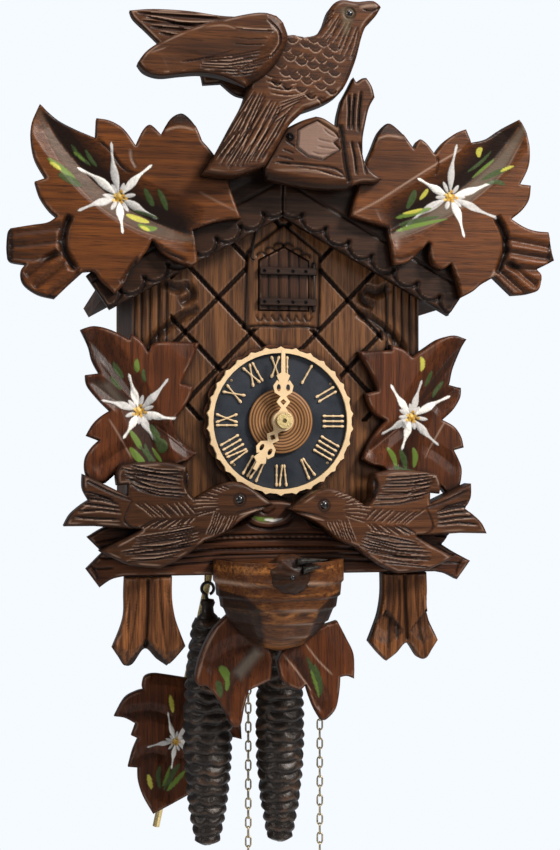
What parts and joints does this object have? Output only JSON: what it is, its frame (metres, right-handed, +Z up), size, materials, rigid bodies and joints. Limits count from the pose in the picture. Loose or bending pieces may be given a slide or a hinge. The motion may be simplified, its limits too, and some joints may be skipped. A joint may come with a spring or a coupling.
{
  "type": "cuckoo clock",
  "caption": "Carved wooden wall clock shaped like a gabled house, with leaves, birds and a nest, a cuckoo door, a dial, pine-cone weights on chains and a leaf pendulum.",
  "frame": {"origin": "the point of the back board's rear face above the dial's centre where the clock meets the wall", "axes": "+X to the viewer's right, +Y into the wall, +Z up"},
  "size_m": [0.2925, 0.1542, 0.6192],
  "materials": {
    "red_walnut": "carved, red-brown stain, satin",
    "dark_walnut": "carved, dark stain, satin",
    "light_walnut": "carved, mid-brown stain, satin",
    "plain_wood": "plain, unstained",
    "slate_black": "matt paint",
    "ivory": "satin",
    "brass": "satin",
    "chain": "brass-plated links",
    "steel": "satin",
    "cast_iron": "dark bronze paint"
  },
  "bodies": {
    "case": {"case_front": "light_walnut", "case_side_left": "dark_walnut", "case_side_right": "dark_walnut", "case_bottom": "plain_wood", "roof_left": "dark_walnut", "roof_right": "dark_walnut", "back_gable": "plain_wood", "back_bottom_bar": "plain_wood", "fascia_left": "dark_walnut", "fascia_right": "dark_walnut", "crown_leaf_left": "red_walnut", "crown_leaf_right": "red_walnut", "crown_branch": "dark_walnut", "top_bird_body": "dark_walnut", "top_bird_wing_near": "dark_walnut", "top_bird_wing_far": "dark_walnut", "side_leaf_left": "red_walnut", "side_leaf_right": "red_walnut", "base_rail": "dark_walnut", "foot_left": "light_walnut", "foot_right": "light_walnut", "bird_left": "dark_walnut", "bird_right": "dark_walnut", "nest": "light_walnut", "nest_leaf_left": "red_walnut", "nest_leaf_right": "red_walnut", "nest_chick": "dark_walnut", "dial_board": "dark_walnut", "dial_face": "slate_black", "dial_ring": "ivory", "movement": "brass", "pendulum_bracket": "steel", "gong": "steel", "whistle_left": "plain_wood", "whistle_right": "plain_wood"},
    "rear_door": {"back_door": "plain_wood"},
    "minute": {"minute_hand": "ivory", "hand_nut": "brass", "centre_arbor": "brass"},
    "hour": {"hour_hand": "ivory"},
    "front_door": {"cuckoo_door": "dark_walnut"},
    "latch": {"door_latch": "steel"},
    "cuckoo": {"cuckoo_bird": "red_walnut"},
    "time_train": {"time_wheel": "brass"},
    "strike_train": {"strike_wheel": "brass"},
    "escape": {"escape_wheel": "brass"},
    "anchor": {"verge": "steel"},
    "pendulum": {"pendulum_rod": "plain_wood", "pendulum_leaf": "red_walnut"},
    "gong_hammer": {"hammer": "steel"},
    "left_weight": {"weight_left": "cast_iron", "chain_left_weight": "chain"},
    "left_free_end": {"chain_left_free": "chain", "chain_left_hank": "chain", "chain_left_ring": "brass"},
    "right_weight": {"weight_right": "cast_iron", "chain_right_weight": "chain"},
    "right_free_end": {"chain_right_free": "chain", "chain_right_hank": "chain", "chain_right_ring": "brass"}
  },
  "joints": [
    {"name": "rear_door_hinge", "type": "hinge", "parent": "case", "child": "rear_door", "pos_m": [0.076, -0.0025, -0.084], "axis": [0, 0, -1], "range_deg": [0, 95]},
    {"name": "minute_turn", "type": "hinge", "parent": "case", "child": "minute", "pos_m": [0, -0.1, -0.08], "axis": [0, 1, 0], "continuous": true},
    {"name": "hour_turn", "type": "hinge", "parent": "case", "child": "hour", "pos_m": [0, -0.1, -0.08], "axis": [0, 1, 0], "continuous": true},
    {"name": "front_door_hinge", "type": "hinge", "parent": "case", "child": "front_door", "pos_m": [0.0193, -0.106, -0.007], "axis": [0, 0, 1], "range_deg": [0, 100]},
    {"name": "latch_swing", "type": "hinge", "parent": "case", "child": "latch", "pos_m": [-0.0124, -0.105, 0.0228], "axis": [0, 1, 0], "range_deg": [0, 60]},
    {"name": "cuckoo_slide", "type": "slide", "parent": "case", "child": "cuckoo", "axis": [0, -1, 0], "range_m": [0, 0.0392]},
    {"name": "time_wheel_turn", "type": "hinge", "parent": "case", "child": "time_train", "pos_m": [-0.0205, -0.062, -0.115], "axis": [0, -1, 0], "range_deg": [0, 200]},
    {"name": "strike_wheel_turn", "type": "hinge", "parent": "case", "child": "strike_train", "pos_m": [0.0205, -0.062, -0.115], "axis": [0, -1, 0], "range_deg": [0, 200]},
    {"name": "escape_turn", "type": "hinge", "parent": "case", "child": "escape", "pos_m": [0, -0.0765, -0.063], "axis": [0, 1, 0], "continuous": true},
    {"name": "pendulum_swing", "type": "hinge", "parent": "case", "child": "pendulum", "pos_m": [0, -0.02, -0.052], "axis": [0, -1, 0], "range_deg": [-2, 26]},
    {"name": "anchor_swing", "type": "hinge", "parent": "case", "child": "anchor", "pos_m": [0, -0.06, -0.042], "axis": [0, -1, 0], "range_deg": [-1.7, 21]},
    {"name": "hammer_swing", "type": "hinge", "parent": "case", "child": "gong_hammer", "pos_m": [0.066, -0.02, -0.118], "axis": [0, 1, 0], "range_deg": [-0.8, 4], "stiffness_Nm_per_rad": 0.01},
    {"name": "left_weight_drop", "type": "slide", "parent": "case", "child": "left_weight", "axis": [0, 0, -1], "range_m": [0, 0.04], "deforming": ["chain_left_weight"]},
    {"name": "left_free_rise", "type": "slide", "parent": "case", "child": "left_free_end", "axis": [0, 0, 1], "range_m": [0, 0.04], "deforming": ["chain_left_free"]},
    {"name": "right_weight_drop", "type": "slide", "parent": "case", "child": "right_weight", "axis": [0, 0, -1], "range_m": [0, 0.04], "deforming": ["chain_right_weight"]},
    {"name": "right_free_rise", "type": "slide", "parent": "case", "child": "right_free_end", "axis": [0, 0, 1], "range_m": [0, 0.04], "deforming": ["chain_right_free"]}
  ],
  "couplings": [
    {"joint": "hour_turn", "follows": "minute_turn", "ratio": 0.083333},
    {"joint": "cuckoo_slide", "follows": "front_door_hinge", "m_per_rad": 0.0223},
    {"joint": "anchor_swing", "follows": "pendulum_swing", "ratio": 0.796},
    {"joint": "time_wheel_turn", "follows": "left_weight_drop", "rad_per_m": 86.96},
    {"joint": "left_free_rise", "follows": "left_weight_drop", "ratio": 1},
    {"joint": "strike_wheel_turn", "follows": "right_weight_drop", "rad_per_m": 86.96},
    {"joint": "right_free_rise", "follows": "right_weight_drop", "ratio": 1}
  ]
}
